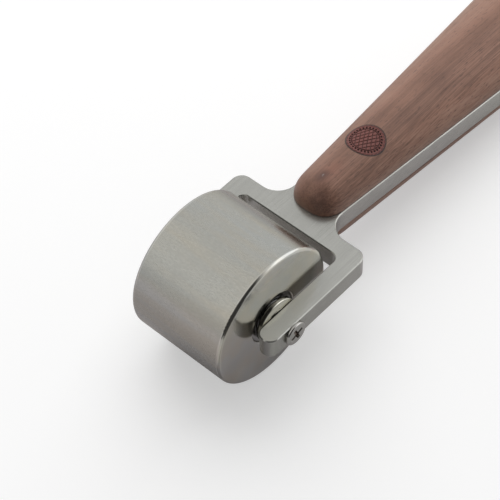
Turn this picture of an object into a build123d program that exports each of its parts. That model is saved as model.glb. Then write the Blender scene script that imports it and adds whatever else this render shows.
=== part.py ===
from build123d import *
from math import asin, cos, degrees, sin, sqrt
import os

# Sizes are in millimetres. The tool is drawn lying level: the axle is the X axis, the handle runs along +Y
# and the plate's middle plane is XY. Right is +X. The finished tool is then tilted about the axle until it
# stands on its roller and on the end of its handle, with the roller's line of contact at Z = 0.

# Roller
roller_diameter = 40.0
roller_width = 29.5
roller_edge_radius = 0.9

# Fork plate: two arms, a crossbar and the tang inside the handle, all cut from one thickness
plate_thickness = 6.3
plate_edge_break = 0.25
arm_width = 5.4
arm_side_gap = 1.55
slot_back_gap = 3.4
crossbar_depth = 5.2
arm_tip_reach = 8.45
shoulder_radius = 3.1
slot_corner_radius = 2.2
neck_radius = 6.0

# Handle, measured back from the crossbar, with its taper running on to a round end
neck_width = 14.7
handle_end_width = 30.8
handle_length = 103.4
scale_front_gap = 0.65
top_scale_height = 7.2
top_scale_inset = 0.25
bottom_scale_height = 7.7
bottom_scale_inset = 0.05

# Round inlay in the crown of the top scale
inlay_diameter = 10.6
inlay_depth = 2.0
inlay_from_nose = 24.4
inlay_clearance = 0.05

# Hidden pins that hold both scales to the tang
pin_diameter = 4.0
pin_depth = 3.5
pin_clearance = 0.03
front_pin_from_nose = 12.0
rear_pin_from_end = 26.0

# Ball bearings, one in each end of the roller
bearing_bore = 6.0
bearing_outer_diameter = 15.0
bearing_width = 5.0
bearing_recess = 0.5
ball_diameter = 3.0
ball_count = 8
ball_play = 0.02
race_land_depth = 0.55
ring_edge_break = 0.3
cage_thickness = 1.0
cage_side_wall = 0.35
cage_pocket_play = 0.05
shield_thickness = 0.3
shield_recess = 0.2
shield_gap = 0.15
seat_clearance = 0.01
seat_shoulder_height = 0.9
seat_mouth_break = 0.2

# Axle, spacers and the screws through the arm tips
axle_fit = 0.02
axle_edge_break = 0.3
spacer_boss_wall = 1.1
flange_diameter = 12.8
flange_thickness = 1.2
flange_edge_break = 0.15
arm_boss_height = 0.12
arm_boss_wall = 0.6
tube_wall = 1.1
screw_diameter = 3.0
screw_grip = 8.0
screw_clearance = 0.1
thread_clearance = 0.05
tapped_hole_spare = 1.5
screw_head_diameter = 6.8
screw_head_height = 1.0
screw_head_edge_radius = 0.35
screw_head_under_break = 0.4
recess_span = 3.8
recess_slot = 0.8
recess_depth = 1.2
recess_turn = 20.0

# Two points closer than this are one corner
same_place = 0.0001

# Places worked out from the sizes above
roller_radius = roller_diameter / 2
roller_half = roller_width / 2
plate_half = plate_thickness / 2
arm_inner = roller_half + arm_side_gap
arm_outer = arm_inner + arm_width
slot_back = roller_radius + slot_back_gap
crossbar_back = slot_back + crossbar_depth
handle_end = crossbar_back + handle_length
flare = (handle_end_width - neck_width) / 2 / handle_length
scale_front = crossbar_back + scale_front_gap


def half_width(y):
    return neck_width / 2 + flare * (y - crossbar_back)


# The nose and the tail of the handle are round in plan: these are the centres of those two circles
nose_y = (scale_front + half_width(0)) / (1 - flare)
tail_y = (handle_end - half_width(0)) / (1 + flare)
inlay_y = scale_front + inlay_from_nose
pin_ys = {"front": scale_front + front_pin_from_nose, "rear": handle_end - rear_pin_from_end}

axle_radius = bearing_bore / 2
ring_bore_radius = axle_radius + axle_fit
outer_ring_radius = bearing_outer_diameter / 2
ball_radius = ball_diameter / 2
pitch_radius = (axle_radius + outer_ring_radius) / 2
groove_radius = ball_radius + ball_play
inner_land_radius = pitch_radius - groove_radius + race_land_depth
outer_land_radius = pitch_radius + groove_radius - race_land_depth
bearing_face_x = roller_half - bearing_recess
bearing_x = bearing_face_x - bearing_width / 2
shield_x = bearing_width / 2 - shield_recess - shield_thickness / 2


# A turned piece: its section has X along the axle and Y as the radius
def turned(section):
    return revolve(section, Axis.X)


def band(x_from, x_to, r_from, r_to):
    middle = Pos((x_from + x_to) / 2, (r_from + r_to) / 2)
    return middle * Rectangle(x_to - x_from, r_to - r_from)


# The corners of a sketch at a given height and at a given distance to either side
def corners(sketch, x, y):
    return [v for v in sketch.vertices() if abs(abs(v.X) - x) < same_place and abs(v.Y - y) < same_place]


def taper_outline(start_y):
    start = half_width(start_y)
    tail = half_width(tail_y)
    sides = Polygon((-start, start_y), (start, start_y), (tail, tail_y), (-tail, tail_y), align=None)
    return sides + Pos(0, tail_y) * Circle(tail)


def fork_plate():
    tip_y = arm_width / 2 - arm_tip_reach
    middle_y = (crossbar_back + tip_y) / 2
    blank = Pos(0, middle_y) * Rectangle(2 * arm_outer, crossbar_back - tip_y)
    slot = Pos(0, slot_back - roller_radius) * Rectangle(2 * arm_inner, 2 * roller_radius)
    tip = Circle(arm_width / 2)
    tip_x = (arm_inner + arm_outer) / 2
    outline = blank - slot + Pos(tip_x, tip_y) * tip + Pos(-tip_x, tip_y) * tip + taper_outline(slot_back)
    outline = fillet(corners(outline, arm_outer, crossbar_back), shoulder_radius)
    outline = fillet(corners(outline, arm_inner, slot_back), slot_corner_radius)
    outline = fillet(corners(outline, half_width(crossbar_back), crossbar_back), neck_radius)
    plate = extrude(outline, plate_half, both=True)
    faces = plate.faces().sort_by(Axis.Z)
    plate = chamfer(faces[0].edges() + faces[-1].edges(), plate_edge_break)
    for y in pin_ys.values():
        plate -= Pos(0, y) * Cylinder(pin_diameter / 2 + pin_clearance, plate_thickness)
    screw_hole = Rot(0, 90, 0) * Cylinder(screw_diameter / 2 + screw_clearance, 2 * arm_outer)
    return plate - screw_hole


def half_ellipse(radius, height):
    return Ellipse(radius, height) & Pos(0, height / 2) * Rectangle(2 * radius, height)


# A quarter of a flattened ball, on the +Y side
def round_end(radius, height):
    quarter = half_ellipse(radius, height) & Pos(radius / 2, height / 2) * Rectangle(radius, height)
    return revolve(Plane.XZ * quarter, Axis.Z, revolution_arc=180)


# A handle scale without its holes: flat below, half an ellipse across, with a rounded nose and tail
def dome(inset, height):
    nose_radius = half_width(nose_y) - inset
    tail_radius = half_width(tail_y) - inset
    nose_plane = Plane(origin=(0, nose_y, 0), x_dir=(-1, 0, 0), z_dir=(0, 1, 0))
    tail_plane = Plane(origin=(0, tail_y, 0), x_dir=(-1, 0, 0), z_dir=(0, 1, 0))
    front = nose_plane * half_ellipse(nose_radius, height)
    back = tail_plane * half_ellipse(tail_radius, height)
    body = loft([front, back], ruled=True)
    nose = Pos(0, nose_y) * round_end(nose_radius, height).rotate(Axis.Z, 180)
    tail = Pos(0, tail_y) * round_end(tail_radius, height)
    return body + nose + tail


def pin_holes():
    radius = pin_diameter / 2 + pin_clearance
    hole = Cylinder(radius, plate_thickness + 2 * (pin_depth + pin_clearance))
    return [Pos(0, y) * hole for y in pin_ys.values()]


def inlay_plug(radius):
    floor = plate_half + top_scale_height - inlay_depth
    base = (Align.CENTER, Align.CENTER, Align.MIN)
    return Pos(0, inlay_y, floor) * Cylinder(radius, 2 * inlay_depth, align=base)


def handle_pieces():
    top = Pos(0, 0, plate_half) * dome(top_scale_inset, top_scale_height)
    bottom = Pos(0, 0, -plate_half) * mirror(dome(bottom_scale_inset, bottom_scale_height), Plane.XY)
    inlay = top & inlay_plug(inlay_diameter / 2)
    pieces = {
        "top_handle_scale": top - inlay_plug(inlay_diameter / 2 + inlay_clearance) - pin_holes(),
        "bottom_handle_scale": bottom - pin_holes(),
        "handle_inlay": inlay,
    }
    pin = Cylinder(pin_diameter / 2, plate_thickness + 2 * pin_depth)
    for place, y in pin_ys.items():
        pieces[f"{place}_handle_pin"] = Pos(0, y) * pin
    return pieces


def roller_shell():
    seat_radius = outer_ring_radius + seat_clearance
    bore_radius = outer_ring_radius - seat_shoulder_height
    section = band(-roller_half, roller_half, bore_radius, roller_radius)
    section -= band(bearing_face_x - bearing_width, roller_half, bore_radius, seat_radius)
    section -= band(-roller_half, bearing_width - bearing_face_x, bore_radius, seat_radius)
    section = fillet(corners(section, roller_half, roller_radius), roller_edge_radius)
    section = chamfer(corners(section, roller_half, seat_radius), seat_mouth_break)
    return turned(section)


def bearing_ring(r_from, r_to):
    half = bearing_width / 2
    section = band(-half, half, r_from, r_to) - Pos(0, pitch_radius) * Circle(groove_radius)
    outer_side = r_to if r_to > pitch_radius else r_from
    return turned(chamfer(corners(section, half, outer_side), ring_edge_break))


def around_axle(shape, count):
    return [Rot(360 * i / count, 0, 0) * shape for i in range(count)]


def bearing_cage():
    half = ball_radius + cage_pocket_play + cage_side_wall
    ring = turned(band(-half, half, pitch_radius - cage_thickness / 2, pitch_radius + cage_thickness / 2))
    pocket = Rot(90, 0, 0) * Cylinder(ball_radius + cage_pocket_play, 2 * cage_thickness)
    return ring - around_axle(Pos(0, pitch_radius) * pocket, ball_count)


def bearing_shield(side):
    x = side * shield_x
    inner = inner_land_radius + shield_gap
    outer = outer_land_radius - seat_clearance
    return turned(band(x - shield_thickness / 2, x + shield_thickness / 2, inner, outer))


def bearing_pieces():
    ball = Pos(0, pitch_radius) * Sphere(ball_radius)
    return {
        "bearing_outer_ring": bearing_ring(outer_land_radius, outer_ring_radius),
        "bearing_inner_ring": bearing_ring(ring_bore_radius, inner_land_radius),
        "bearing_cage": bearing_cage(),
        "bearing_balls": Compound(around_axle(ball, ball_count)),
        "bearing_outer_shield": bearing_shield(1),
        "bearing_inner_shield": bearing_shield(-1),
    }


def axle_rod():
    section = band(-arm_inner, arm_inner, 0, axle_radius)
    section = chamfer(corners(section, arm_inner, axle_radius), axle_edge_break)
    depth = screw_grip + tapped_hole_spare
    hole = turned(band(arm_inner - depth, arm_inner, 0, screw_diameter / 2 + thread_clearance))
    return turned(section) - hole - mirror(hole, Plane.YZ)


def spacer_tube():
    half = bearing_face_x - bearing_width
    return turned(band(-half, half, ring_bore_radius, ring_bore_radius + tube_wall))


def flanged_spacer():
    flange_out = arm_inner - arm_boss_height
    flange_in = flange_out - flange_thickness
    flange = band(flange_in, flange_out, ring_bore_radius, flange_diameter / 2)
    rim = corners(flange, flange_in, flange_diameter / 2) + corners(flange, flange_out, flange_diameter / 2)
    section = chamfer(rim, flange_edge_break)
    section += band(bearing_face_x, flange_in, ring_bore_radius, ring_bore_radius + spacer_boss_wall)
    section += band(flange_out, arm_inner, ring_bore_radius, ring_bore_radius + arm_boss_wall)
    return turned(section)


def axle_screw():
    head_radius = screw_head_diameter / 2
    head_top = arm_outer + screw_head_height
    head = band(arm_outer, head_top, 0, head_radius)
    head = fillet(corners(head, head_top, head_radius), screw_head_edge_radius)
    head = chamfer(corners(head, arm_outer, head_radius), screw_head_under_break)
    shank = band(arm_inner - screw_grip, arm_outer, 0, screw_diameter / 2)
    cross = Rectangle(recess_span, recess_slot) + Rectangle(recess_slot, recess_span)
    face = Plane(origin=(head_top, 0, 0), x_dir=(0, 1, 0), z_dir=(-1, 0, 0))
    recess = extrude(face * Rot(0, 0, -recess_turn) * cross, recess_depth)
    return turned(head + shank) - recess


# The angle at which the bottom scale's round end is as far below the axle as the roller is
def rest_tilt():
    tail_radius = half_width(tail_y) - bottom_scale_inset
    tilt = 0.0
    for _ in range(40):
        end_reach = sqrt((tail_radius * sin(tilt)) ** 2 + (bottom_scale_height * cos(tilt)) ** 2)
        tilt = asin((roller_radius - plate_half * cos(tilt) - end_reach) / tail_y)
    return degrees(tilt)


def all_pieces():
    pieces = {
        "fork_plate": fork_plate(),
        "roller": roller_shell(),
        "axle": axle_rod(),
        "spacer_tube": spacer_tube(),
    }
    pieces.update(handle_pieces())
    right_side = {name: Pos(bearing_x) * shape for name, shape in bearing_pieces().items()}
    right_side["flanged_spacer"] = flanged_spacer()
    right_side["axle_screw"] = axle_screw()
    for name, shape in right_side.items():
        pieces[f"right_{name}"] = shape
        pieces[f"left_{name}"] = mirror(shape, Plane.YZ)
    return pieces


os.makedirs("parts", exist_ok=True)
standing = Pos(0, 0, roller_radius) * Rot(-rest_tilt(), 0, 0)
for name, shape in all_pieces().items():
    export_step(standing * shape, f"parts/{name}.step")
print(f"tilt {rest_tilt():.3f} degrees, handle end at {handle_end:.2f} mm from the axle")
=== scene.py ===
import math

import bmesh
import bpy
import numpy as np
from mathutils import Matrix, Vector


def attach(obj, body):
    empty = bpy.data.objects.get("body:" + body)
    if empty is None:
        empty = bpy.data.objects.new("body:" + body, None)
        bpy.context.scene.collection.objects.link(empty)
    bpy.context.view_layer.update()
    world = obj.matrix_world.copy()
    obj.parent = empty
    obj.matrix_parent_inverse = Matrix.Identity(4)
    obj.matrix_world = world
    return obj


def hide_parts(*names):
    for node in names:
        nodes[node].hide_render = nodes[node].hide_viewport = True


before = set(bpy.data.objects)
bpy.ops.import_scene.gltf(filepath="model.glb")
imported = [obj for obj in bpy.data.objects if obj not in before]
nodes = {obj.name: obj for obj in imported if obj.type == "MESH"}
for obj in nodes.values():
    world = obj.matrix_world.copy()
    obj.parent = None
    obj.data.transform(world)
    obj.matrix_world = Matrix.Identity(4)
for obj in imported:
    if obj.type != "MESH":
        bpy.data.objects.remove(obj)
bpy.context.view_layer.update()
scene = bpy.context.scene
print("frame loaded with", len(nodes), "CAD nodes")

mm = 0.001

# how the drawn tool stands: level about its axle, then tipped nose down until the handle end rests
stance = {"tilt": math.radians(4.435713), "axleHeight": 20.0}


# level tool coordinates in mm to the part's own place in metres: a turn about X, then a lift to axle height
def stand(points):
    c, s = math.cos(stance["tilt"]), math.sin(stance["tilt"])
    x, y, z = points[..., 0], points[..., 1], points[..., 2]
    return np.stack([x, y * c + z * s, z * c - y * s + stance["axleHeight"]], -1) * mm


# camera

view = {
    "place": (186.750, -187.601, 346.525),   # level tool coordinates, mm
    "look": (-0.43009, 0.45093, -0.78210),
    "up": (-0.51122, 0.59239, 0.62268),
    "lens": 124.53,
    "sensor": 36.0,
    "clip": (0.01, 20.0),
}


def makeCamera():
    turn = Matrix.Rotation(-stance["tilt"], 3, "X")
    look = (turn @ Vector(view["look"])).normalized()
    right = look.cross(turn @ Vector(view["up"])).normalized()
    up = right.cross(look)
    data = bpy.data.cameras.new("photoCamera")
    data.sensor_fit, data.sensor_width, data.lens = "HORIZONTAL", view["sensor"], view["lens"]
    data.clip_start, data.clip_end = view["clip"]
    camera = bpy.data.objects.new("photoCamera", data)
    scene.collection.objects.link(camera)
    place = Matrix((right, up, -look)).transposed().to_4x4()
    place.translation = Vector(stand(np.array(view["place"])).tolist())
    camera.matrix_world = place
    scene.camera = camera


makeCamera()
scene.view_settings.view_transform = "Standard"
print("camera set")

# mesh helpers

weld = {"merge": 1e-7, "sliver": 1e-8}   # metres


# quads between neighbouring lines of a grid of nu by nv points, joined round on the second side and, where
# asked, on the first
def gridQuads(nu, nv, wrapU):
    u, v = np.meshgrid(np.arange(nu - (not wrapU)), np.arange(nv), indexing="ij")
    un, vn = (u + 1) % nu, (v + 1) % nv
    return np.stack([u * nv + v, un * nv + v, un * nv + vn, u * nv + vn], -1).reshape(-1, 4)


def smoothStep(edge0, edge1, value):
    t = np.clip((value - edge0) / (edge1 - edge0), 0.0, 1.0)
    return t * t * (3.0 - 2.0 * t)


def roundAngles(spokes):
    return np.linspace(0.0, 2.0 * np.pi, spokes, endpoint=False)


# puts a grid of level tool points into a mesh, closes its poles and seams, and turns its faces outwards
def makePiece(name, points, crease, wrapU=False, marks=None):
    mesh = bpy.data.meshes.new(name)
    mesh.from_pydata(stand(points).reshape(-1, 3), [], gridQuads(points.shape[0], points.shape[1], wrapU))
    for key, values in (marks or {}).items():
        mark = mesh.attributes.new(key, "FLOAT", "POINT")
        mark.data.foreach_set("value", values.astype(np.float32).ravel())
    work = bmesh.new()
    work.from_mesh(mesh)
    bmesh.ops.remove_doubles(work, verts=work.verts, dist=weld["merge"])
    bmesh.ops.dissolve_degenerate(work, edges=work.edges, dist=weld["sliver"])
    bmesh.ops.recalc_face_normals(work, faces=work.faces)
    work.to_mesh(mesh)
    work.free()
    mesh.shade_smooth()
    mesh.set_sharp_from_angle(angle=math.radians(crease))
    piece = bpy.data.objects.new(name, mesh)
    scene.collection.objects.link(piece)
    return piece


# what a new piece is made of, what it moves with and which CAD node it stands for
def seat(piece, material, body, node):
    piece.data.materials.append(material)
    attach(piece, body)
    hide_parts(node)


# node helpers


def addNode(tree, kind, inputs=None, **settings):
    made = tree.nodes.new(kind)
    for key, value in settings.items():
        setattr(made, key, value)
    for key, value in (inputs or {}).items():
        if isinstance(value, bpy.types.NodeSocket):
            tree.links.new(value, made.inputs[key])
        else:
            made.inputs[key].default_value = value
    return made


def sums(tree, operation, a, b=0.0):
    return addNode(tree, "ShaderNodeMath", {0: a, 1: b}, operation=operation).outputs[0]


def times(tree, a, b):
    return sums(tree, "MULTIPLY", a, b)


def plus(tree, a, b):
    return sums(tree, "ADD", a, b)


# a noise that swings evenly about nothing
def swing(tree, value, share):
    return times(tree, sums(tree, "SUBTRACT", value, 0.5), share)


def mapRange(tree, value, low, high, toLow=0.0, toHigh=1.0):
    inputs = {"Value": value, "From Min": low, "From Max": high, "To Min": toLow, "To Max": toHigh}
    return addNode(tree, "ShaderNodeMapRange", inputs, interpolation_type="SMOOTHSTEP").outputs[0]


def mixColour(tree, share, a, b, blend="MIX"):
    inputs = {0: share, 6: a, 7: b}   # the sockets for colours
    return addNode(tree, "ShaderNodeMix", inputs, data_type="RGBA", blend_type=blend).outputs[2]


def ramp(tree, value, stops):
    made = addNode(tree, "ShaderNodeValToRGB", {"Fac": value})
    while len(made.color_ramp.elements) < len(stops):
        made.color_ramp.elements.new(0.5)
    for element, (place, colour) in zip(made.color_ramp.elements, stops):
        element.position, element.color = place, (*colour, 1.0)
    return made.outputs[0]


def stretched(tree, vector, scale, turn=(0.0, 0.0, 0.0), shift=(0.0, 0.0, 0.0)):
    inputs = {"Vector": vector, "Scale": scale, "Rotation": turn, "Location": shift}
    return addNode(tree, "ShaderNodeMapping", inputs).outputs[0]


def noise(tree, vector, detail, rough):
    inputs = {"Vector": vector, "Scale": 1.0, "Detail": detail, "Roughness": rough, "Distortion": 0.0}
    return addNode(tree, "ShaderNodeTexNoise", inputs).outputs["Fac"]


def lengthOf(tree, vector):
    return addNode(tree, "ShaderNodeVectorMath", {0: vector}, operation="LENGTH").outputs["Value"]


def separated(tree, vector):
    return addNode(tree, "ShaderNodeSeparateXYZ", {0: vector}).outputs


# Object coordinates in metres, lowered to the axle and turned level with the handle
def levelCoords(tree):
    place = addNode(tree, "ShaderNodeTexCoord").outputs["Object"]
    low = stretched(tree, place, (1.0, 1.0, 1.0), shift=(0.0, 0.0, -stance["axleHeight"] * mm))
    return stretched(tree, low, (1.0, 1.0, 1.0), turn=(stance["tilt"], 0.0, 0.0))


def newMaterial(name):
    material = bpy.data.materials.new(name)
    material.use_nodes = True
    tree = material.node_tree
    tree.nodes.clear()
    shader = addNode(tree, "ShaderNodeBsdfPrincipled")
    addNode(tree, "ShaderNodeOutputMaterial", {"Surface": shader.outputs[0]})
    return material, tree, shader


def bump(tree, shader, height, strength, distance):
    made = addNode(tree, "ShaderNodeBump", {"Height": height, "Strength": strength, "Distance": distance})
    tree.links.new(made.outputs[0], shader.inputs["Normal"])


def opaque(colour, factor=1.0):
    return tuple(part * factor for part in colour) + (1.0,)


def dimmed(tree, colour, share):
    return mixColour(tree, 1.0, colour, (share, share, share, 1.0), "MULTIPLY")


# steel

# colour, roughness and its spread, lines to a metre each way and how deep they are; edge, rim and boss
# are places darkened with painted shade, in level mm; low names the mark darkened with painted shade and a
# grime tint
steels = {
    "plate": {"colour": (0.472, 0.467, 0.433), "rough": 0.24, "spread": 0.05, "lines": (4200, 60, 4200),
              "depth": 0.006, "metal": 0.80, "streak": 0.08,
              # edge: a painted dark line along the slot's upper back edge
              "edge": {"back": 23.4, "width": 0.27, "above": 2.88, "left": 15.5, "right": 14.2, "share": 0.28,
                       "frontSoft": (0.04, 0.01), "soft": 0.06, "endSoft": 1.0}},
    # the spacer's rim and boss are darkened with painted shade
    "spacer": {"colour": (0.72, 0.70, 0.62), "rough": 0.14, "spread": 0.04, "lines": (5000, 200, 200),
               "depth": 0.02, "rim": {"beyond": 6.33, "within": 16.05, "soft": 0.03, "share": 0.34},
               "boss": {"from": 16.20, "soft": 0.01, "share": 0.28}},
    # the screw's recess colour is painted shade with a grime tint
    "screw": {"colour": (0.50, 0.485, 0.46), "rough": 0.24, "spread": 0.10, "lines": (900, 900, 900),
              "depth": 0.04, "low": "recess", "dirt": (0.22, 0.18, 0.155)},
    "bearing": {"colour": (0.34, 0.335, 0.325), "rough": 0.22, "spread": 0.06, "lines": (5000, 200, 200),
                "depth": 0.03},
    "shield": {"colour": (0.200, 0.196, 0.194), "rough": 0.28, "spread": 0.06, "lines": (5000, 300, 300),
               "depth": 0.03},
    "cage": {"colour": (0.38, 0.37, 0.35), "rough": 0.30, "spread": 0.08, "lines": (900, 900, 900),
             "depth": 0.05},
    "axle": {"colour": (0.50, 0.49, 0.465), "rough": 0.20, "spread": 0.06, "lines": (4000, 150, 150),
             "depth": 0.03},
    "brass": {"colour": (0.60, 0.42, 0.17), "rough": 0.28, "spread": 0.08, "lines": (300, 300, 3000),
              "depth": 0.05},
}
# what all steels share: detail and roughness of the noise, its range, and the depth of a line in metres
steelGrain = {"noise": (3.0, 0.6), "range": (0.3, 0.7), "lineShare": 0.6, "cloudShare": 0.4,
              "clouds": (140.0, 140.0, 140.0), "streak": 0.06, "metal": 1.0, "lineDepth": 0.00005}


# painted shade on the turned rim of a disc, where its reflection is dark: far enough from the axle, and not yet
# at the disc's outer face
def paintRimShade(tree, level, colour, rim):
    parts = separated(tree, level)
    across = addNode(tree, "ShaderNodeCombineXYZ", {"Y": parts["Y"], "Z": parts["Z"]}).outputs[0]
    radius = lengthOf(tree, across)
    reach = sums(tree, "ABSOLUTE", parts["X"])
    soft = rim["soft"]
    out = mapRange(tree, radius, (rim["beyond"] - soft) * mm, (rim["beyond"] + soft) * mm)
    side = mapRange(tree, reach, (rim["within"] - soft) * mm, (rim["within"] + soft) * mm, 1.0, 0.0)
    return mixColour(tree, times(tree, out, side), colour, dimmed(tree, colour, rim["share"]))


# painted shade along the upper edge at the back of the fork's slot: a dark line that stands in for the dark
# reflection in the edge's chamfer
def dirtyEdge(tree, level, colour, edge):
    parts = separated(tree, level)
    rear, soft, endSoft = edge["back"] + edge["width"], edge["soft"], edge["endSoft"]
    front = mapRange(tree, parts["Y"], *((edge["back"] - gap) * mm for gap in edge["frontSoft"]))
    back = mapRange(tree, parts["Y"], (rear - soft) * mm, rear * mm, 1.0, 0.0)
    above = mapRange(tree, parts["Z"], (edge["above"] - soft) * mm, edge["above"] * mm)
    left = mapRange(tree, parts["X"], -edge["left"] * mm, (endSoft - edge["left"]) * mm)
    right = mapRange(tree, parts["X"], (edge["right"] - endSoft) * mm, edge["right"] * mm, 1.0, 0.0)
    share = times(tree, times(tree, front, back), times(tree, above, times(tree, left, right)))
    return mixColour(tree, share, colour, dimmed(tree, colour, edge["share"]))


# painted shade on the narrow boss that stands between a disc and the arm, in the gap between the two
def dirtyBoss(tree, level, colour, boss):
    reach = sums(tree, "ABSOLUTE", separated(tree, level)["X"])
    share = mapRange(tree, reach, (boss["from"] - boss["soft"]) * mm, (boss["from"] + boss["soft"]) * mm)
    return mixColour(tree, share, colour, dimmed(tree, colour, boss["share"]))


# fine lines that run one way, over slow clouds of duller and brighter metal; painted shade with a grime tint
# darkens what the named mark calls low, and painted shade darkens the rim, boss and edge places
def steelMaterial(name):
    finish = {**steelGrain, **steels[name]}
    material, tree, shader = newMaterial(name + "Finish")
    level = levelCoords(tree)
    lines = noise(tree, stretched(tree, level, finish["lines"]), *finish["noise"])
    clouds = noise(tree, stretched(tree, level, finish["clouds"]), *finish["noise"])
    mixed = plus(tree, times(tree, lines, finish["lineShare"]), times(tree, clouds, finish["cloudShare"]))
    dark, bright = (opaque(finish["colour"], 1.0 + change) for change in (-finish["streak"], finish["streak"]))
    colour = mixColour(tree, mapRange(tree, mixed, *finish["range"]), dark, bright)
    if "rim" in finish:
        colour = dirtyBoss(tree, level, paintRimShade(tree, level, colour, finish["rim"]), finish["boss"])
    if "edge" in finish:
        colour = dirtyEdge(tree, level, colour, finish["edge"])
    # painted shade with a grime tint in what the named mark calls low: the screw's cross recess
    if "low" in finish:
        low = addNode(tree, "ShaderNodeAttribute", attribute_name=finish["low"]).outputs["Fac"]
        colour = mixColour(tree, low, colour, opaque(finish["dirt"]))
    tree.links.new(colour, shader.inputs["Base Color"])
    smooth, dull = finish["rough"] - finish["spread"] / 2, finish["rough"] + finish["spread"] / 2
    tree.links.new(mapRange(tree, mixed, *finish["range"], dull, smooth), shader.inputs["Roughness"])
    shader.inputs["Metallic"].default_value = finish["metal"]
    bump(tree, shader, lines, finish["depth"], finish["lineDepth"])
    return material


# roller

rollerFinish = {
    "halfWidth": 14.75, "edge": 0.93, "edgeSoft": 0.03,
    "barrel": (0.500, 0.486, 0.444), "barrelTone": 0.08, "barrelRange": (0.25, 0.75),
    "barrelRough": 0.27, "roughSpread": 0.03, "range": (0.3, 0.7),
    "grit": ((1000, 2600, 2600), 4.0, 0.65), "gritShare": 0.8,
    "bands": ((14, 210, 210), 2.0, 0.5), "bandShare": 0.2,
    "clouds": ((70.0, 70.0, 70.0), 3.0, 0.55), "cloudShare": 0.5,
    "end": (0.605, 0.588, 0.544), "endTone": 0.04, "endRough": 0.15,
    "film": ((24, 150, 150), 3.0, 0.55), "filmRange": (0.35, 0.65),
    "cool": (0.970, 1.0, 1.025), "warm": (1.026, 1.0, 0.950),
    "bump": (0.004, 0.00003),
}


# a ground satin barrel between polished end faces, under a faint film that is cooler and warmer in places; the
# share of polish comes from the distance along the axle
def rollerMaterial():
    finish = rollerFinish
    material, tree, shader = newMaterial("rollerFinish")
    level = levelCoords(tree)
    reach = sums(tree, "ABSOLUTE", separated(tree, level)["X"])
    start, soft = (finish["halfWidth"] - finish["edge"]) * mm, finish["edgeSoft"] * mm
    polish = mapRange(tree, reach, start - soft, start + soft)
    grit, bands, clouds, film = (noise(tree, stretched(tree, level, finish[name][0]), *finish[name][1:])
                                 for name in ("grit", "bands", "clouds", "film"))
    grain = plus(tree, times(tree, grit, finish["gritShare"]), times(tree, bands, finish["bandShare"]))
    ground = mixColour(tree, mapRange(tree, grain, *finish["barrelRange"]),
                       opaque(finish["barrel"], 1.0 - finish["barrelTone"]),
                       opaque(finish["barrel"], 1.0 + finish["barrelTone"]))
    mirror = mixColour(tree, mapRange(tree, clouds, *finish["range"]),
                       opaque(finish["end"], 1.0 - finish["endTone"]),
                       opaque(finish["end"], 1.0 + finish["endTone"]))
    hue = mixColour(tree, mapRange(tree, film, *finish["filmRange"]),
                    opaque(finish["cool"]), opaque(finish["warm"]))
    metal = mixColour(tree, 1.0, mixColour(tree, polish, ground, mirror), hue, "MULTIPLY")
    tree.links.new(metal, shader.inputs["Base Color"])
    dullness = plus(tree, times(tree, grain, finish["cloudShare"]), times(tree, clouds, finish["cloudShare"]))
    satin = mapRange(tree, dullness, *finish["range"], finish["barrelRough"] + finish["roughSpread"],
                     finish["barrelRough"] - finish["roughSpread"])
    rough = addNode(tree, "ShaderNodeMix", {0: polish, 2: satin, 3: finish["endRough"]})
    tree.links.new(rough.outputs[0], shader.inputs["Roughness"])
    shader.inputs["Metallic"].default_value = 1.0
    depth = times(tree, grain, sums(tree, "SUBTRACT", 1.0, polish))
    bump(tree, shader, depth, *finish["bump"])
    return material


# walnut

walnut = {
    "dark": (0.118, 0.057, 0.040), "brown": (0.205, 0.104, 0.070),
    "warm": (0.282, 0.146, 0.100), "pale": (0.366, 0.206, 0.145),
    "stops": {"dark": 0.10, "brown": 0.22, "warm": 0.31, "pale": 0.44},
    "pore": (0.075, 0.042, 0.033), "blush": (0.300, 0.125, 0.082), "stain": (0.073, 0.036, 0.029),
    "glueAndShade": (0.014, 0.009, 0.008), "fleck": (0.30, 0.25, 0.23),
    # seam: painted contact shade at the foot of the top scale, in the glue line's dark colour
    "seam": (3.28, 3.62), "seamShare": 0.62, "seamAbove": (0.0, 1.0),   # level mm
    "range": (0.3, 0.7), "rough": (0.53, 0.41), "bump": (0.28, 0.00008),
    "sockets": {"Specular IOR Level": 0.36, "Coat Weight": 0.65, "Coat Roughness": 0.40, "Coat IOR": 1.3},
}
# noises of the grain: how many to a metre each way, detail, roughness and turn
grain = {
    "wander": ((45.0, 9.0, 45.0), 2.0, 0.5),
    "broad": ((150.0, 6.0, 150.0), 3.0, 0.5),
    "streaks": ((1300.0, 16.0, 1300.0), 3.0, 0.6),
    "lines": ((3000.0, 40.0, 3000.0), 2.0, 0.55),
    "pores": ((3800.0, 480.0, 3800.0), 1.0, 0.4),
    "fibres": ((6000.0, 160.0, 6000.0), 2.0, 0.5),
    "figure": ((110.0, 75.0, 110.0), 2.0, 0.5, (0.0, 0.0, 0.5)),
    "blotch": ((420.0, 260.0, 420.0), 3.0, 0.6),
}
grainShare = {
    "wander": 0.006, "broad": 0.42, "streaks": 0.22, "lines": 0.52, "fibres": 0.13, "figure": 0.16,
    "pores": 0.55, "poreRange": (0.60, 0.72), "fibreHeight": 0.35,
    "striped": (-0.003, 0.006, 0.28, 0.90),   # across in metres, then how streaky the two sides are
}
# painted light and shade along the handle, lighter at the left, the rear left and the right, darker on the
# crown: from and to in metres, and the tone at both
paintedWoodLight = {
    "left": {"across": (-0.008, 0.003), "tone": (0.05, 0.0)},
    "rearLeft": {"across": (-0.008, -0.001), "tone": (0.075, 0.0), "along": (0.046, 0.070)},
    "crown": {"across": (-0.0035, -0.001), "tone": (0.0, -0.03)},
    "right": {"across": (0.001, 0.0028), "tone": (0.0, 0.048)},
}
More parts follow.
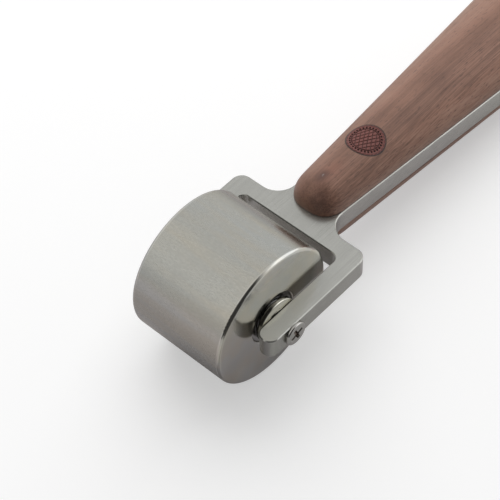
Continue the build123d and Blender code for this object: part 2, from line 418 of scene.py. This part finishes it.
# single marks in the wood: middle and reach each way in level mm, softness, strength and how patchy
woodMarks = {
    "blush": {"at": (0.4, 39.0, 10.0), "reach": (3.6, 7.5, 6.0), "soft": 1.0, "share": 0.45, "colour": "blush"},
    "noseStain": {"at": (3.2, 31.6, 7.0), "reach": (4.6, 7.0, 7.5), "soft": 1.0, "share": 0.71,
                  "patchy": (0.25, 0.65, 0.35, 1.0), "colour": "stain"},
    "knotHalo": {"at": (-0.37, 36.85, 10.3), "reach": (2.2, 3.6, 3.4), "soft": 1.0, "share": 0.75,
                 "colour": "stain"},
    "knotFleck": {"at": (-0.37, 36.85, 10.3), "reach": (0.45, 0.7, 2.0), "soft": 0.6, "patchy": (0.45, 0.6),
                  "colour": "fleck"},
    "inlayGlue": {"at": (0.0, 53.65, 10.3), "reach": (5.62, 5.62, 60.0), "soft": 0.06, "share": 0.95,
                  "colour": "glueAndShade"},
}


def grainNoise(tree, vector, name):
    scale, detail, rough, *turn = grain[name]
    return noise(tree, stretched(tree, vector, scale, *turn), detail, rough)


# closeness to a point in level mm: one at the point, nothing beyond the given reach each way
def nearTo(tree, level, point, reach, soft):
    shift = tuple(-p / r for p, r in zip(point, reach))
    shifted = stretched(tree, level, tuple(1.0 / (r * mm) for r in reach), shift=shift)
    return mapRange(tree, lengthOf(tree, shifted), 1.0 - soft, 1.0, 1.0, 0.0)


# lays a mark's colour over the wood
def laidOver(tree, level, wood, mark, blotch):
    share = nearTo(tree, level, mark["at"], mark["reach"], mark["soft"])
    if "patchy" in mark:
        share = times(tree, share, mapRange(tree, blotch, *mark["patchy"]))
    if "share" in mark:
        share = times(tree, share, mark["share"])
    return mixColour(tree, share, wood, opaque(walnut[mark["colour"]]))


# broad bands and narrow streaks that run along the handle and wander a little, with fibres and short dark
# pores on top, painted light and shade by side, then the marks, and a dark seam at the foot of the top scale,
# painted contact shade where it meets the plate
def walnutMaterial():
    material, tree, shader = newMaterial("walnutFinish")
    level = levelCoords(tree)
    sway = times(tree, grainNoise(tree, level, "wander"), grainShare["wander"])
    offset = addNode(tree, "ShaderNodeCombineXYZ", {"X": sway}).outputs[0]
    bent = addNode(tree, "ShaderNodeVectorMath", {0: level, 1: offset}, operation="ADD").outputs[0]
    broad, streaks, lines = (grainNoise(tree, bent, name) for name in ("broad", "streaks", "lines"))
    fibres, figure, blotch = (grainNoise(tree, level, name) for name in ("fibres", "figure", "blotch"))
    pores = mapRange(tree, grainNoise(tree, bent, "pores"), *grainShare["poreRange"])
    parts = separated(tree, level)
    across, along = parts["X"], parts["Y"]
    fine = plus(tree, swing(tree, streaks, grainShare["streaks"]), swing(tree, lines, grainShare["lines"]))
    striped = mapRange(tree, across, *grainShare["striped"])
    tone = plus(tree, times(tree, fine, striped), times(tree, broad, grainShare["broad"]))
    tone = plus(tree, tone, times(tree, fibres, grainShare["fibres"]))
    tone = plus(tree, tone, swing(tree, figure, grainShare["figure"]))
    # painted light and shade by side across the handle
    for strip in paintedWoodLight.values():
        lift = mapRange(tree, across, *strip["across"], *strip["tone"])
        if "along" in strip:
            lift = times(tree, mapRange(tree, along, *strip["along"]), lift)
        tone = plus(tree, tone, lift)
    wood = ramp(tree, tone, [(place, walnut[name]) for name, place in walnut["stops"].items()])
    wood = laidOver(tree, level, wood, woodMarks["blush"], blotch)
    wood = mixColour(tree, times(tree, pores, grainShare["pores"]), wood, opaque(walnut["pore"]))
    for name in ("noseStain", "knotHalo", "knotFleck", "inlayGlue"):
        wood = laidOver(tree, level, wood, woodMarks[name], blotch)
    # painted contact shade: a dark seam at the foot of the top scale, where it sits on the plate
    foot = mapRange(tree, parts["Z"], *(height * mm for height in walnut["seam"]), walnut["seamShare"], 0.0)
    foot = times(tree, foot, mapRange(tree, parts["Z"], *(height * mm for height in walnut["seamAbove"])))
    wood = mixColour(tree, foot, wood, opaque(walnut["glueAndShade"]))
    tree.links.new(wood, shader.inputs["Base Color"])
    tree.links.new(mapRange(tree, streaks, *walnut["range"], *walnut["rough"]), shader.inputs["Roughness"])
    for socket, value in walnut["sockets"].items():
        shader.inputs[socket].default_value = value
    height = sums(tree, "SUBTRACT", times(tree, fibres, grainShare["fibreHeight"]), pores)
    bump(tree, shader, height, *walnut["bump"])
    return material


# reddish stained wood of the inlay

inlayFinish = {
    "stops": [(0.0, (0.012, 0.007, 0.006)), (0.40, (0.085, 0.031, 0.026)),
              (0.72, (0.200, 0.072, 0.060)), (1.0, (0.128, 0.048, 0.042))],
    "mottle": ((1500.0, 500.0, 1500.0), 3.0, 0.6), "wear": 0.35, "range": (0.3, 0.7), "rough": (0.52, 0.40),
    "specular": 0.36, "bump": (0.15, 0.00008),
}


# darker in its low places, and mottled
def inlayMaterial():
    finish = inlayFinish
    material, tree, shader = newMaterial("inlayFinish")
    level = levelCoords(tree)
    relief = addNode(tree, "ShaderNodeAttribute", attribute_name="relief").outputs["Fac"]
    mottle = noise(tree, stretched(tree, level, finish["mottle"][0]), *finish["mottle"][1:])
    worn = plus(tree, relief, swing(tree, mottle, finish["wear"]))
    tree.links.new(ramp(tree, worn, finish["stops"]), shader.inputs["Base Color"])
    tree.links.new(mapRange(tree, mottle, *finish["range"], *finish["rough"]), shader.inputs["Roughness"])
    shader.inputs["Specular IOR Level"].default_value = finish["specular"]
    bump(tree, shader, mottle, *finish["bump"])
    return material


finishes = {name: steelMaterial(name) for name in steels}
finishes["roller"] = rollerMaterial()
finishes["walnut"] = walnutMaterial()
finishes["inlay"] = inlayMaterial()
print("materials made:", len(finishes))

# handle scales

handle = {
    "neckY": 28.6, "neckHalf": 7.35, "flare": 0.077853,
    "noseY": 37.2754, "tailY": 117.7123, "plateHalf": 3.15,
    "noseSquare": 2.6, "noseCrown": 2.2, "columns": 120, "under": 10, "crease": 50.0,
    "noseSteps": 44, "noseBend": 1.25, "tailSteps": 36,
    "closeUp": (47.5, 60.0), "bodySteps": (24, 60, 70),   # finer steps round the inlay
}
scales = {
    "top": {"inset": 0.25, "height": 7.2, "side": 1.0},
    "bottom": {"inset": 0.05, "height": 7.7, "side": -1.0},
}
inlay = {
    "y": 53.65, "radius": 5.3, "pocket": 5.0, "pocketSoft": 0.25, "pocketDepth": 0.9,
    "rings": 96, "spokes": 288, "wall": 1.1, "underStep": 12, "crease": 60.0,
}
knot = {"x": -0.4, "y": 36.8, "reach": 0.42, "depth": 0.10, "stretch": 0.7, "clear": 1.0}


def halfWidth(y):
    return handle["neckHalf"] + handle["flare"] * (y - handle["neckY"])


def endRadii(inset):
    return halfWidth(handle["noseY"]) - inset, halfWidth(handle["tailY"]) - inset


# share of full size near the two round ends: the rounded-square curve (1 - t^p)^(1/p), t running out to one
# at the tip
def endShare(y, inset, square):
    noseRadius, tailRadius = endRadii(inset)
    nose = np.clip((handle["noseY"] - y) / noseRadius, 0.0, 1.0)
    tail = np.clip((y - handle["tailY"]) / tailRadius, 0.0, 1.0)
    return (1.0 - nose ** square) ** (1.0 / square) * np.sqrt(1.0 - tail ** 2)


# stations along the handle, packed closely at both tips and round the inlay
def stations(inset):
    noseRadius, tailRadius = endRadii(inset)
    quarter, bend = np.pi / 2, handle["noseBend"]
    turn = np.linspace(0.0, quarter, handle["noseSteps"])
    nose = handle["noseY"] - noseRadius * np.cos(turn ** bend / quarter ** (bend - 1.0))
    stops = (handle["noseY"], *handle["closeUp"], handle["tailY"])
    runs = zip(stops, stops[1:], handle["bodySteps"])
    body = [np.linspace(start, end, steps)[1:] for start, end, steps in runs]
    tail = handle["tailY"] + tailRadius * np.sin(np.linspace(0.0, quarter, handle["tailSteps"]))[1:]
    return np.concatenate([nose, *body, tail])


# a scale is half an ellipse across: x = w cos a, z = h sin a, with w and h shrinking together at the ends,
# closed underneath by a flat strip from edge to edge
def scalePoints(settings):
    y = stations(settings["inset"])[:, None]
    w = (halfWidth(y) - settings["inset"]) * endShare(y, settings["inset"], handle["noseSquare"])
    h = settings["height"] * endShare(y, settings["inset"], handle["noseCrown"])
    a = np.linspace(0.0, np.pi, handle["columns"])[None, :]
    domeX, domeZ = w * np.cos(a), h * np.sin(a)
    if settings["side"] > 0:
        gap = np.hypot(domeX, y - inlay["y"])
        pocket = smoothStep(inlay["pocket"], inlay["pocket"] - inlay["pocketSoft"], gap)
        domeZ = domeZ - inlay["pocketDepth"] * pocket
        dent = np.hypot(domeX - knot["x"], (y - knot["y"]) * knot["stretch"]) / knot["reach"]
        domeZ = domeZ - knot["depth"] * np.exp(-dent ** 2) * (h > knot["clear"])
    across = np.linspace(-1.0, 1.0, handle["under"])[None, 1:-1]
    x = np.concatenate([domeX, w * across], 1)
    z = np.concatenate([domeZ, np.zeros_like(w * across)], 1)
    return np.stack([x, np.broadcast_to(y, x.shape), settings["side"] * (z + handle["plateHalf"])], -1)


for side, settings in scales.items():
    scale = makePiece(side + "Scale", scalePoints(settings), handle["crease"])
    seat(scale, finishes["walnut"], "frame", side + "_handle_scale")
print("handle scales made")

# inlay

reliefPlan = {
    "rim": (4.72, 5.12), "rimSlope": (0.12, 0.08, 0.16), "rimHeight": 0.12, "edgeStart": 0.02, "edgeDrop": 0.30,
    "reeds": 26, "reedSlant": 1.1, "reedWidth": 0.16, "reedDepth": 0.16,
    "dimpleRing": 4.22, "dimples": 30, "dimpleSize": 0.27, "dimpleDepth": 0.30,
    "groove": 3.72, "grooveWidth": 0.13, "grooveDepth": 0.22,
    "lattice": 1.25, "latticeSlope": 0.62, "latticeCut": (0.17, 0.02), "latticeFade": (0.05, 0.25),
    "latticeDepth": 0.17,
}


# relief by distance r and angle: a raised rim with slanted cuts, a ring of round dimples, a groove, and a
# lattice of small diamonds inside
def reliefHeight(x, y):
    p = reliefPlan
    r, angle = np.hypot(x, y), np.arctan2(y, x)
    inner, outer = p["rim"]
    rise, top, fall = p["rimSlope"]
    rim = smoothStep(inner - rise, inner + top, r) * smoothStep(outer + fall, outer, r)
    slant = np.mod(angle * p["reeds"] / (2.0 * np.pi) + (r - inner) * p["reedSlant"], 1.0) - 0.5
    rim = rim - p["reedDepth"] / p["rimHeight"] * np.exp(-((slant / p["reedWidth"]) ** 2)) * rim
    step = 2.0 * np.pi / p["dimples"]
    off = (np.mod(angle, step) - step / 2) * p["dimpleRing"]
    dimple = np.exp(-((np.hypot(off, r - p["dimpleRing"]) / p["dimpleSize"]) ** 4))
    groove = np.exp(-(((r - p["groove"]) / p["grooveWidth"]) ** 2))
    u, v = ((x + slope * y) / p["lattice"] for slope in (p["latticeSlope"], -p["latticeSlope"]))
    cut = np.minimum(np.abs(np.mod(u, 1.0) - 0.5), np.abs(np.mod(v, 1.0) - 0.5))
    fade = smoothStep(*(p["groove"] - gap for gap in p["latticeFade"]), r)
    lattice = smoothStep(*p["latticeCut"], cut) * fade
    edge = smoothStep(outer + p["edgeStart"], inlay["radius"], r)
    height = p["rimHeight"] * rim - p["dimpleDepth"] * dimple - p["grooveDepth"] * groove
    return height - p["latticeDepth"] * lattice - p["edgeDrop"] * edge


def crownHeight(x, y):
    w = halfWidth(y) - scales["top"]["inset"]
    return handle["plateHalf"] + scales["top"]["height"] * np.sqrt(1.0 - (x / w) ** 2)


# rings and spokes over the crown of the top scale, lifted by the relief, then a wall down and a flat underside
def inlayPoints():
    r = np.linspace(0.0, inlay["radius"], inlay["rings"])[:, None]
    angle = roundAngles(inlay["spokes"])[None, :]
    x, dy = r * np.cos(angle), r * np.sin(angle)
    relief = reliefHeight(x, dy)
    z = crownHeight(x, dy + inlay["y"]) + relief
    top = np.stack([x, dy + inlay["y"], z], -1)
    under = top[::-inlay["underStep"]].copy()
    under[..., 2] = crownHeight(inlay["radius"], inlay["y"]) - inlay["wall"]
    shade = np.concatenate([relief, np.full(under.shape[:2], -reliefPlan["edgeDrop"])], 0)
    return np.concatenate([top, under], 0), shade


points, relief = inlayPoints()
low, high = -reliefPlan["edgeDrop"], reliefPlan["rimHeight"]
piece = makePiece("reliefInlay", points, inlay["crease"], marks={"relief": (relief - low) / (high - low)})
seat(piece, finishes["inlay"], "frame", "handle_inlay")
print("inlay made")

# axle screws

screw = {
    "seatX": 21.7, "headRadius": 3.4, "headHeight": 1.0, "edge": 0.35, "under": 0.4, "underRadius": 2.4,
    "shankRadius": 1.5, "shankEnds": 0.4, "tipRadius": 1.1, "length": 13.4,
    "crossTurn": math.radians(20.0), "crossRadius": 2.1, "deep": 1.25, "shallow": 0.65,
    "recessMark": (0.05, 0.55),
    "wingReach": 2.05, "wingEnd": (0.03, 0.12), "wingHalf": 0.50, "wingWall": (0.05, 0.09),
    "wingWaist": 0.82, "wingFlare": 0.5, "flareReach": 0.62,
    "crossSteps": 48, "flatSteps": 8, "edgeSteps": 10, "shankSteps": 12, "spokes": 200, "crease": 40.0,
}


# depth of the cross recess: each wing is deepest at the middle and slopes up to its end, and widens a little
# at the middle
def crossDepth(y, z):
    c, s = math.cos(screw["crossTurn"]), math.sin(screw["crossTurn"])
    u, v = y * c + z * s, z * c - y * s
    reach, (beyond, within), (outside, inner) = screw["wingReach"], screw["wingEnd"], screw["wingWall"]
    depth = np.zeros_like(u)
    for along, beside in ((u, v), (v, u)):
        flare = screw["wingFlare"] * np.exp(-((along / screw["flareReach"]) ** 2))
        half = screw["wingHalf"] * (screw["wingWaist"] + flare)
        inside = smoothStep(half + outside, half - inner, np.abs(beside))
        inside = inside * smoothStep(reach + beyond, reach - within, np.abs(along))
        floor = screw["deep"] + (screw["shallow"] - screw["deep"]) * np.abs(along) / reach
        depth = np.maximum(depth, inside * floor)
    return depth


# a turned outline carried round the axle, with the recess pressed into its top
def screwPoints(side):
    head, shank, length = screw["headRadius"], screw["shankRadius"], screw["length"]
    bend = np.linspace(0.0, np.pi / 2, screw["edgeSteps"])[1:]
    flatEnd = head - screw["edge"]
    flat = np.concatenate([np.linspace(0.0, screw["crossRadius"], screw["crossSteps"]),
                           np.linspace(screw["crossRadius"], flatEnd, screw["flatSteps"])[1:]])
    r = np.concatenate([flat, flatEnd + screw["edge"] * np.sin(bend), [head, head - screw["under"]],
                        [screw["underRadius"], shank], [shank] * screw["shankSteps"],
                        [screw["tipRadius"], 0.0]])
    down = np.linspace(-screw["shankEnds"], screw["shankEnds"] - length, screw["shankSteps"])
    out = np.concatenate([np.full(len(flat), screw["headHeight"]),
                          screw["headHeight"] - screw["edge"] * (1.0 - np.cos(bend)),
                          [screw["under"], 0.0], [0.0, 0.0], down, [-length] * 2])
    angle = roundAngles(screw["spokes"])
    y, z = r[:, None] * np.cos(angle), r[:, None] * np.sin(angle)
    depth = crossDepth(y, z) * (np.arange(len(r)) < len(flat))[:, None]
    points = np.stack([side * (screw["seatX"] + out[:, None] - depth), y, z], -1)
    return points, smoothStep(*screw["recessMark"], depth)


ends = {"right": 1.0, "left": -1.0}
for side, sign in ends.items():
    points, recess = screwPoints(sign)
    piece = makePiece(side + "CrossScrew", points, screw["crease"], marks={"recess": recess})
    seat(piece, finishes["screw"], "frame", side + "_axle_screw")
print("axle screws made")

# bearing shields

shield = {
    "spokes": 160, "crease": 30.0,
    "x": (13.75, 13.97, 14.05, 14.05, 13.93, 13.93, 13.86, 13.86, 14.05, 14.05, 13.98, 13.75),
    "r": (4.43, 4.43, 4.50, 4.72, 4.80, 5.52, 5.60, 5.74, 5.82, 6.13, 6.21, 6.21),
}


# a pressed outline with an inner lip, a dished web and a crimped rim, carried once round the axle
def shieldPoints(side):
    x, r = np.array(shield["x"])[:, None], np.array(shield["r"])[:, None]
    angle = roundAngles(shield["spokes"])[None, :]
    return np.stack([side * np.broadcast_to(x, (len(x), angle.size)), r * np.cos(angle), r * np.sin(angle)], -1)


for side, sign in ends.items():
    piece = makePiece(side + "PressedShield", shieldPoints(sign), shield["crease"], wrapU=True)
    seat(piece, finishes["shield"], "roller_set", side + "_bearing_outer_shield")
print("bearing shields made")

# finishes of the CAD nodes that stay

nodeFinish = {
    "fork_plate": "plate", "roller": "roller", "axle": "axle", "spacer_tube": "axle",
    "front_handle_pin": "brass", "rear_handle_pin": "brass",
}
endFinish = {
    "bearing_outer_ring": "bearing", "bearing_inner_ring": "bearing", "bearing_balls": "bearing",
    "bearing_cage": "cage", "bearing_inner_shield": "shield", "flanged_spacer": "spacer",
}
for name, finish in endFinish.items():
    for side in ends:
        nodeFinish[side + "_" + name] = finish
for name, finish in nodeFinish.items():
    nodes[name].data.materials.clear()
    nodes[name].data.materials.append(finishes[finish])
print("CAD nodes finished:", len(nodeFinish))

# studio

studio = {
    "fill": 0.32, "room": 0.76, "floorReach": 3.0, "floorDrop": 0.00005,
    "floorColour": (0.678, 0.678, 0.678), "floorSeen": (0.425, 0.425, 0.425),
    "floorMirrored": (0.86, 0.12),   # shares of its own shading and of flat light
    # a painted lilac tint on the floor near the tool, seen only in mirrors
    "floorTint": {"near": (1.03, 0.985, 1.02), "far": (1.0, 1.0, 0.985),
                  "x": (0.026, 0.034), "y": (0.080, 0.120)},
    "roomTint": {"cool": (0.985, 1.0, 1.015), "warm": (1.01, 1.0, 0.975),
                 "y": (0.40, 0.15), "z": (0.22, 0.45)},
}
# parts of the mirrored room by direction: from where to where each one grows, and how much it adds or takes
roomSides = {
    "window": {"x": (-0.30, 0.0), "y": (0.44, 0.70), "z": (0.92, 0.62), "gain": 0.95},
    "sideLight": {"x": (0.55, 0.72), "y": (0.34, 0.46), "z": (0.20, 0.32), "gain": 0.60},
    "skylight": {"x": (0.05, 0.25), "y": (0.38, 0.48), "z": (0.50, 0.62), "gain": 0.17},
    "overhead": {"x": (0.2, -0.2), "y": (0.30, -0.10), "z": (0.40, 0.60), "gain": 0.07},
    "lowFront": {"x": (0.1, -0.3), "y": (0.30, -0.30), "z": (0.40, 0.20), "gain": -0.24},
    "cameraSide": {"x": (-0.24, 0.12), "y": (0.43, 0.02), "z": (-0.30, 0.0), "gain": -0.94},
}
# painted light and shade on the floor as seen in mirrors, by place in metres, in the same way; slope slants the
# limits in X along Y
paintedFloorPatches = {
    # a painted dark patch on the floor in front beside the tool, seen only in mirrors
    "darkPatch": {"slope": 0.58, "x": (0.045, 0.068), "y": (0.014, -0.002), "gain": -0.88},
    "front": {"slope": 0.0, "x": (0.030, 0.012), "y": (-0.110, -0.030), "gain": -0.23},
    "farFront": {"slope": 0.0, "x": (0.060, 0.0), "y": (-0.080, -0.250), "gain": 0.30},
    "besideHandle": {"slope": 0.0, "x": (0.0, 0.015), "y": (0.034, 0.044), "gain": 0.40},
    "underSlot": {"slope": 0.0, "x": (0.016, 0.012), "y": (0.008, 0.016), "end": (0.046, 0.036), "gain": 0.40},
    "underArm": {"slope": 0.0, "x": (0.023, 0.019), "y": (-0.014, -0.008), "end": (0.008, 0.003), "gain": 0.18},
    "besideArm": {"slope": 0.0, "x": (0.0245, 0.0275), "y": (-0.012, -0.006), "end": (0.010, 0.006),
                  "gain": -0.09},
    "belowRim": {"slope": 0.0, "x": (0.009, 0.012), "y": (-0.042, -0.034), "end": (-0.0205, -0.0230),
                 "gain": -0.34},
    "behind": {"slope": 0.0, "x": (0.060, 0.0), "y": (0.090, 0.160), "gain": 0.35},
}
keyLight = {"place": (-0.46, 0.60, 0.72), "aim": (0.0, 0.04, 0.02), "size": 1.5, "radiance": 1.78}
white = (1.0, 1.0, 1.0, 1.0)


# a tone made lighter or darker by a gain where the share is one
def changed(tree, tone, share, gain):
    return times(tree, tone, plus(tree, times(tree, share, gain), 1.0))


# what polished metal sees: a white room with a bright window behind on the right, two smaller lights on that
# side and a soft one overhead, a little darker low in front and dark where the camera stands
def roomTone(tree, mirrored):
    parts = separated(tree, addNode(tree, "ShaderNodeTexCoord").outputs["Generated"])
    tone = studio["room"]
    for side in roomSides.values():
        share = times(tree, mapRange(tree, parts["X"], *side["x"]), mapRange(tree, parts["Y"], *side["y"]))
        share = times(tree, share, mapRange(tree, parts["Z"], *side["z"]))
        tone = changed(tree, tone, share, side["gain"])
    tint = studio["roomTint"]
    share = times(tree, mapRange(tree, parts["Y"], *tint["y"]), mapRange(tree, parts["Z"], *tint["z"]))
    hue = mixColour(tree, share, opaque(tint["cool"]), opaque(tint["warm"]))
    return tone, mixColour(tree, mirrored, white, hue)


# what polished metal sees of the floor: its own shading made flatter, with painted shade and light laid on it:
# a dark patch beside the tool in front, duller and lighter patches round the roller and the handle, and a
# painted lilac tint near the tool
def floorTone(tree, mirrored):
    parts = separated(tree, addNode(tree, "ShaderNodeNewGeometry").outputs["Position"])
    tone = 1.0
    for patch in paintedFloorPatches.values():
        away = plus(tree, parts["X"], times(tree, parts["Y"], patch["slope"]))
        share = times(tree, mapRange(tree, away, *patch["x"]), mapRange(tree, parts["Y"], *patch["y"]))
        if "end" in patch:
            share = times(tree, share, mapRange(tree, parts["Y"], *patch["end"]))
        tone = changed(tree, tone, share, patch["gain"])
    shaded, flat = studio["floorMirrored"]
    tint = studio["floorTint"]
    away = sums(tree, "MAXIMUM", mapRange(tree, parts["X"], *tint["x"]), mapRange(tree, parts["Y"], *tint["y"]))
    hue = mixColour(tree, away, opaque(tint["near"]), opaque(tint["far"]))
    hue = mixColour(tree, mirrored, white, hue)
    share = mapRange(tree, mirrored, 0.0, 1.0, 1.0, times(tree, tone, shaded))
    return mixColour(tree, 1.0, hue, share, "MULTIPLY"), hue, times(tree, tone, flat)


# one for the rays that show the background straight or through glass, and one for those that show it in a
# mirror
def backgroundRays(tree):
    path = addNode(tree, "ShaderNodeLightPath").outputs
    return sums(tree, "MAXIMUM", path["Is Camera Ray"], path["Is Transmission Ray"]), path["Is Glossy Ray"]


def makeRoom():
    world = bpy.data.worlds.new("whiteRoom")
    scene.world = world
    world.use_nodes = True
    tree = world.node_tree
    tree.nodes.clear()
    seen, mirrored = backgroundRays(tree)
    tone, hue = roomTone(tree, mirrored)
    strength = mapRange(tree, mirrored, 0.0, 1.0, studio["fill"], tone)
    strength = mapRange(tree, seen, 0.0, 1.0, strength, 1.0)
    light = addNode(tree, "ShaderNodeBackground", {"Color": hue, "Strength": strength})
    addNode(tree, "ShaderNodeOutputWorld", {"Surface": light.outputs[0]})


def makeFloor():
    reach, level = studio["floorReach"], -studio["floorDrop"]
    corners = [(x * reach, y * reach, level) for x, y in ((-1, -1), (1, -1), (1, 1), (-1, 1))]
    mesh = bpy.data.meshes.new("paleFloor")
    mesh.from_pydata(corners, [], [(0, 1, 2, 3)])
    floor = bpy.data.objects.new("paleFloor", mesh)
    scene.collection.objects.link(floor)
    material = bpy.data.materials.new("paleFloor")
    material.use_nodes = True
    tree = material.node_tree
    tree.nodes.clear()
    seen, mirrored = backgroundRays(tree)
    shaded, hue, flat = floorTone(tree, mirrored)
    colour = mixColour(tree, 1.0, shaded, opaque(studio["floorColour"]), "MULTIPLY")
    matt = addNode(tree, "ShaderNodeBsdfDiffuse", {"Color": colour})
    lit = mixColour(tree, 1.0, hue, opaque(studio["floorColour"]), "MULTIPLY")
    glow = mixColour(tree, seen, lit, opaque(studio["floorSeen"]))
    strength = plus(tree, seen, times(tree, mirrored, flat))
    shine = addNode(tree, "ShaderNodeEmission", {"Color": glow, "Strength": strength})
    both = addNode(tree, "ShaderNodeAddShader", {0: matt.outputs[0], 1: shine.outputs[0]})
    addNode(tree, "ShaderNodeOutputMaterial", {"Surface": both.outputs[0]})
    mesh.materials.append(material)


# one large soft lamp at the upper left, behind the tool
def makeKey():
    data = bpy.data.lights.new("keySoftBox", "AREA")
    data.shape, data.size = "SQUARE", keyLight["size"]
    data.energy = keyLight["radiance"] * math.pi * keyLight["size"] ** 2
    softBox = bpy.data.objects.new("keySoftBox", data)
    place = Vector(keyLight["place"])
    softBox.location = place
    softBox.rotation_euler = (Vector(keyLight["aim"]) - place).to_track_quat("-Z", "Y").to_euler()
    softBox.visible_camera = False
    softBox.visible_glossy = False
    scene.collection.objects.link(softBox)


makeRoom()
makeFloor()
makeKey()
print("studio made")
